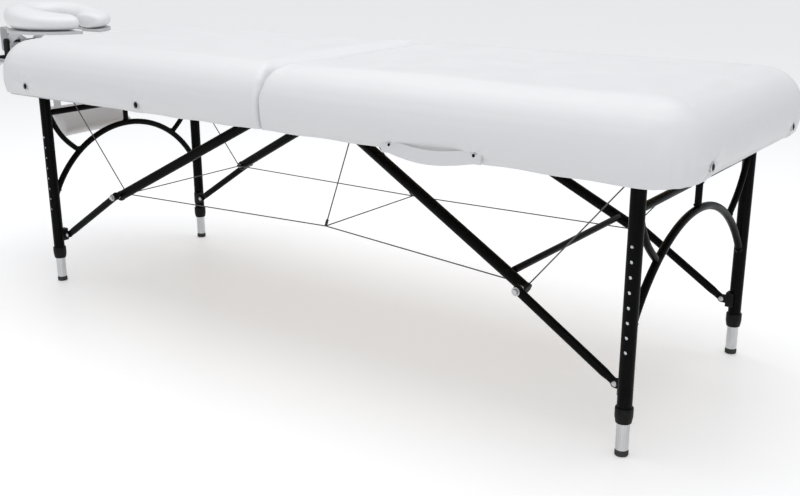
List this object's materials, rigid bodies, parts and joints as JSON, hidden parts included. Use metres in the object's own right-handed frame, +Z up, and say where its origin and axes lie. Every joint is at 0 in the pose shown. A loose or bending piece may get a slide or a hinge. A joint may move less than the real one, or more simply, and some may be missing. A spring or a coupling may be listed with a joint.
{
  "type": "portable massage table",
  "caption": "Two-section folding massage table with a cable-braced leg frame under each half, telescoping legs, a padded top, a tilting face cradle and a hanging arm rest.",
  "frame": {"origin": "on the floor under the middle of the whole table with its face cradle fitted and the legs at their shortest", "axes": "+X towards the foot end, +Z up, +Y away from the long side with the carry handle"},
  "size_m": [2.31, 0.6689, 0.716],
  "materials": {
    "white_cover": "smooth white synthetic leather with a fine grain",
    "foam": "cream upholstery foam",
    "plywood": "clear lacquered birch plywood",
    "frame_rail": "satin extruded aluminium",
    "black_tube": "semi-gloss black powder coat",
    "black_plastic": "satin black moulded nylon",
    "bracket_steel": "black painted pressed steel",
    "silver_tube": "brushed silver aluminium tube",
    "rubber": "matt black rubber",
    "button_steel": "bright steel",
    "hinge_steel": "zinc plated steel",
    "cable": "plastic coated steel wire rope",
    "grey_plastic": "satin mid-grey moulded plastic",
    "webbing": "off-white woven webbing"
  },
  "bodies": {
    "foot_panel": {"foot_cover": "white_cover", "foot_foam": "foam", "foot_board": "plywood", "foot_frame": "frame_rail", "carry_handle": "webbing", "hinge_leaf_foot": "hinge_steel", "hinge_pin": "hinge_steel", "cable_truss": "cable"},
    "head_panel": {"head_cover": "white_cover", "head_foam": "foam", "head_board": "plywood", "head_frame": "frame_rail", "hinge_leaf_head": "hinge_steel"},
    "foot_leg_frame": {"foot_pivot_tube": "black_tube", "foot_leg_brace": "black_tube", "foot_leg_tube_near": "black_tube", "foot_leg_collar_near": "black_plastic", "foot_strut_bracket_near": "bracket_steel", "foot_leg_tube_far": "black_tube", "foot_leg_collar_far": "black_plastic", "foot_strut_bracket_far": "bracket_steel"},
    "foot_upper_struts": {"foot_upper_strut_near": "black_tube", "foot_upper_strut_far": "black_tube", "foot_crossbar": "black_tube"},
    "foot_lower_struts": {"foot_lower_strut_near": "black_tube", "foot_lower_strut_far": "black_tube"},
    "foot_leg_extension_near": {"foot_inner_leg_near": "silver_tube", "foot_rubber_foot_near": "rubber"},
    "foot_leg_button_near": {"foot_button_near": "button_steel"},
    "foot_leg_extension_far": {"foot_inner_leg_far": "silver_tube", "foot_rubber_foot_far": "rubber"},
    "foot_leg_button_far": {"foot_button_far": "button_steel"},
    "head_leg_frame": {"head_pivot_tube": "black_tube", "head_leg_brace": "black_tube", "head_leg_tube_near": "black_tube", "head_leg_collar_near": "black_plastic", "head_strut_bracket_near": "bracket_steel", "head_leg_tube_far": "black_tube", "head_leg_collar_far": "black_plastic", "head_strut_bracket_far": "bracket_steel"},
    "head_upper_struts": {"head_upper_strut_near": "black_tube", "head_upper_strut_far": "black_tube"},
    "head_lower_struts": {"head_lower_strut_near": "black_tube", "head_lower_strut_far": "black_tube"},
    "head_leg_extension_near": {"head_inner_leg_near": "silver_tube", "head_rubber_foot_near": "rubber"},
    "head_leg_button_near": {"head_button_near": "button_steel"},
    "head_leg_extension_far": {"head_inner_leg_far": "silver_tube", "head_rubber_foot_far": "rubber"},
    "head_leg_button_far": {"head_button_far": "button_steel"},
    "cradle_base": {"cradle_post_near": "silver_tube", "cradle_post_far": "silver_tube", "cradle_yoke": "black_plastic"},
    "cradle_head": {"cradle_platform": "grey_plastic", "face_cushion": "white_cover"},
    "cradle_lever": {"cradle_lever": "grey_plastic"},
    "arm_rest": {"arm_rest_pad": "white_cover", "arm_rest_strap_near": "webbing", "arm_rest_strap_far": "webbing"}
  },
  "joints": [
    {"name": "centre_fold", "type": "hinge", "parent": "foot_panel", "child": "head_panel", "pos_m": [0.225, 0, 0.5135], "axis": [0, -1, 0], "range_deg": [0, 180], "deforming": ["cable_truss"]},
    {"name": "foot_leg_fold", "type": "hinge", "parent": "foot_panel", "child": "foot_leg_frame", "pos_m": [1.061, 0, 0.5385], "axis": [0, 1, 0], "range_deg": [0, 90]},
    {"name": "foot_upper_strut_swing", "type": "hinge", "parent": "foot_panel", "child": "foot_upper_struts", "pos_m": [0.271, 0, 0.5615], "axis": [0, -1, 0], "range_deg": [0, 28.45]},
    {"name": "foot_lower_strut_swing", "type": "hinge", "parent": "foot_leg_frame", "child": "foot_lower_struts", "pos_m": [1.035, 0, 0.13], "axis": [0, 1, 0], "range_deg": [0, 56.4]},
    {"name": "head_leg_fold", "type": "hinge", "parent": "head_panel", "child": "head_leg_frame", "pos_m": [-0.611, 0, 0.5385], "axis": [0, -1, 0], "range_deg": [0, 90]},
    {"name": "head_upper_strut_swing", "type": "hinge", "parent": "head_panel", "child": "head_upper_struts", "pos_m": [0.179, 0, 0.5615], "axis": [0, 1, 0], "range_deg": [0, 28.45]},
    {"name": "head_lower_strut_swing", "type": "hinge", "parent": "head_leg_frame", "child": "head_lower_struts", "pos_m": [-0.585, 0, 0.13], "axis": [0, -1, 0], "range_deg": [0, 56.4]},
    {"name": "foot_leg_length_near", "type": "slide", "parent": "foot_leg_frame", "child": "foot_leg_extension_near", "axis": [0, 0, -1], "range_m": [0, 0.168]},
    {"name": "foot_button_press_near", "type": "slide", "parent": "foot_leg_extension_near", "child": "foot_leg_button_near", "axis": [0, 1, 0], "range_m": [0, 0.004], "stiffness_N_per_m": 300, "springref_m": -0.001},
    {"name": "foot_leg_length_far", "type": "slide", "parent": "foot_leg_frame", "child": "foot_leg_extension_far", "axis": [0, 0, -1], "range_m": [0, 0.168]},
    {"name": "foot_button_press_far", "type": "slide", "parent": "foot_leg_extension_far", "child": "foot_leg_button_far", "axis": [0, -1, 0], "range_m": [0, 0.004], "stiffness_N_per_m": 300, "springref_m": -0.001},
    {"name": "head_leg_length_near", "type": "slide", "parent": "head_leg_frame", "child": "head_leg_extension_near", "axis": [0, 0, -1], "range_m": [0, 0.168]},
    {"name": "head_button_press_near", "type": "slide", "parent": "head_leg_extension_near", "child": "head_leg_button_near", "axis": [0, 1, 0], "range_m": [0, 0.004], "stiffness_N_per_m": 300, "springref_m": -0.001},
    {"name": "head_leg_length_far", "type": "slide", "parent": "head_leg_frame", "child": "head_leg_extension_far", "axis": [0, 0, -1], "range_m": [0, 0.168]},
    {"name": "head_button_press_far", "type": "slide", "parent": "head_leg_extension_far", "child": "head_leg_button_far", "axis": [0, -1, 0], "range_m": [0, 0.004], "stiffness_N_per_m": 300, "springref_m": -0.001},
    {"name": "cradle_slide", "type": "slide", "parent": "head_panel", "child": "cradle_base", "axis": [-1, 0, 0], "range_m": [0, 0.045]},
    {"name": "cradle_tilt", "type": "hinge", "parent": "cradle_base", "child": "cradle_head", "pos_m": [-1.06, 0, 0.605], "axis": [0, -1, 0], "range_deg": [-5, 30]},
    {"name": "cradle_lock", "type": "hinge", "parent": "cradle_base", "child": "cradle_lever", "pos_m": [-1.06, 0, 0.605], "axis": [0, 1, 0], "range_deg": [0, 40]},
    {"name": "arm_rest_swing", "type": "hinge", "parent": "cradle_base", "child": "arm_rest", "pos_m": [-0.775, 0, 0.5545], "axis": [0, -1, 0], "range_deg": [-20, 20]}
  ],
  "couplings": [
    {"joint": "foot_leg_fold", "follows": "centre_fold", "ratio": 0.5},
    {"joint": "foot_upper_strut_swing", "follows": "centre_fold", "ratio": 0.15807},
    {"joint": "foot_lower_strut_swing", "follows": "centre_fold", "ratio": 0.31332},
    {"joint": "head_leg_fold", "follows": "centre_fold", "ratio": 0.5},
    {"joint": "head_upper_strut_swing", "follows": "centre_fold", "ratio": 0.15807},
    {"joint": "head_lower_strut_swing", "follows": "centre_fold", "ratio": 0.31332}
  ]
}
